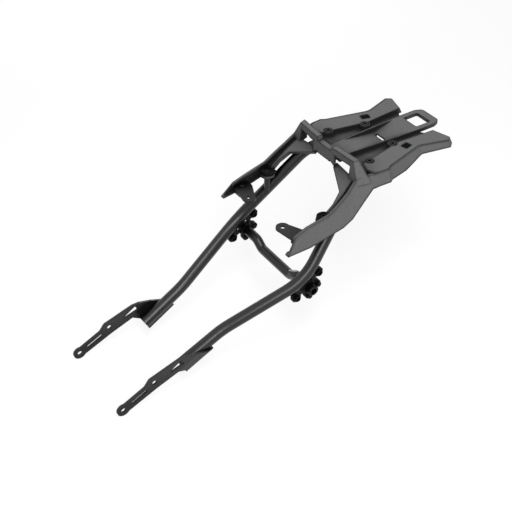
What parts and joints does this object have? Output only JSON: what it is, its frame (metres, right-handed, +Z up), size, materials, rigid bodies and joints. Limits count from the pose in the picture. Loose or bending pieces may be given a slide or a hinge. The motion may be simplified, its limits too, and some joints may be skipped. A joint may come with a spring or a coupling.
{
  "type": "motorcycle luggage rack",
  "caption": "Motorcycle luggage rack: a moulded deck with grab handles, strap holes and a tail loop, carried on bent tubes with slotted front plates and a cross brace.",
  "frame": {"origin": "on the mid-plane, on the common axis of the two front eyes", "axes": "+Z up, +Y to the rear of the motorcycle, +X to its left"},
  "size_m": [0.215, 0.68, 0.309],
  "materials": {
    "moulding": "fine grained dark grey moulding",
    "tube_paint": "satin black powder coat on steel tube",
    "plate_paint": "satin black powder coat on steel plate",
    "bracket_paint": "satin black powder coat on small steel parts",
    "black_fastener": "black coated steel",
    "bush_rubber": "black rubber"
  },
  "bodies": {
    "root": {"cross_brace": "tube_paint", "front_rack_screws": "black_fastener", "front_tube_bosses": "bracket_paint", "left_brace_bolts": "black_fastener", "left_brace_bracket": "bracket_paint", "left_brace_flange": "bracket_paint", "left_brace_nuts": "black_fastener", "left_bracket_bushes": "bracket_paint", "left_carrier_boss": "bracket_paint", "left_front_plate": "plate_paint", "left_handle_bolt": "black_fastener", "left_handle_bush": "bush_rubber", "left_handle_post": "bracket_paint", "left_main_tube": "tube_paint", "left_seat_tab": "plate_paint", "rack_moulding": "moulding", "rear_rack_screws": "black_fastener", "rear_tube_bosses": "bracket_paint", "right_brace_bolts": "black_fastener", "right_brace_bracket": "bracket_paint", "right_brace_flange": "bracket_paint", "right_brace_nuts": "black_fastener", "right_bracket_bushes": "bracket_paint", "right_carrier_boss": "bracket_paint", "right_front_plate": "plate_paint", "right_handle_bolt": "black_fastener", "right_handle_bush": "bush_rubber", "right_handle_post": "bracket_paint", "right_main_tube": "tube_paint", "right_seat_tab": "plate_paint", "seat_tab_screws": "black_fastener"}
  },
  "joints": []
}
